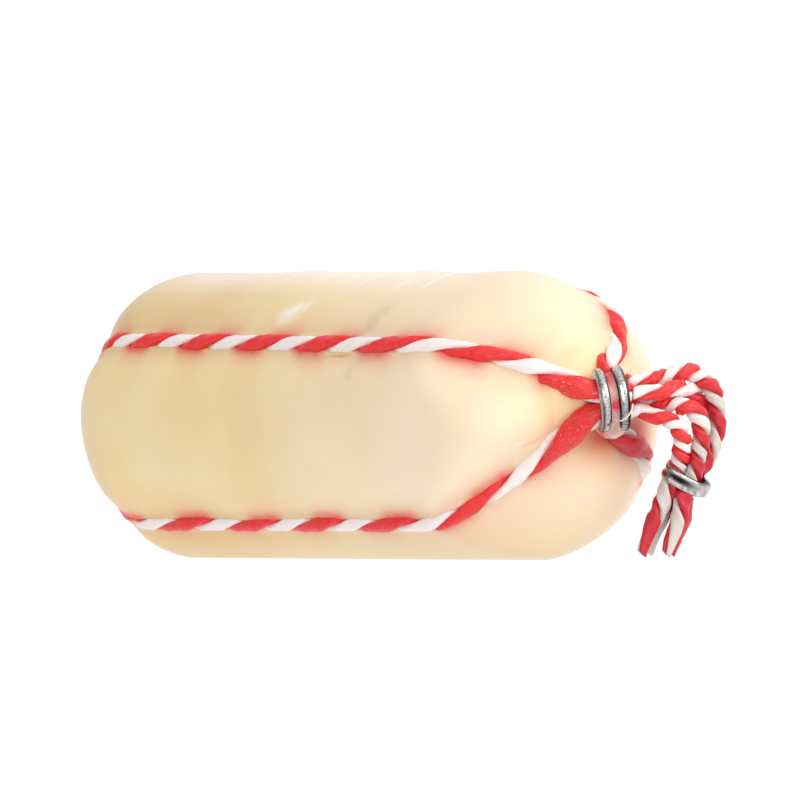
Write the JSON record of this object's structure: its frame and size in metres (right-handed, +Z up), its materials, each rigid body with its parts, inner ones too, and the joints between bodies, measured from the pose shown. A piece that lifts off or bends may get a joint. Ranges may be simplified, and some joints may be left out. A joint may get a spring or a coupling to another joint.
{
  "type": "provolone cheese",
  "caption": "Small waxed provolone log, furrowed by red and white twine that a metal clip gathers at one end into a folded tassel.",
  "frame": {"origin": "on the table, under the middle of the cheese and its gathering clip", "axes": "+X along the log to its gathered end, +Z up, the pictured side faces between +X and -Y"},
  "size_m": [0.1793, 0.0705, 0.0696],
  "materials": {
    "waxed_cheese": "pale cream cheese under a thin clear wax coat, satin",
    "twine": "waxed cotton, one red and one white strand twisted together",
    "clip_wire": "bright pressed wire, lightly scratched"
  },
  "bodies": {
    "root": {"cheese": "waxed_cheese", "twine_under": "twine", "twine_over": "twine", "clip_band_left": "clip_wire", "clip_band_right": "clip_wire", "tail_front": "twine", "tail_top": "twine", "tail_back": "twine", "tail_bottom": "twine", "tassel_clip": "clip_wire"}
  },
  "joints": []
}
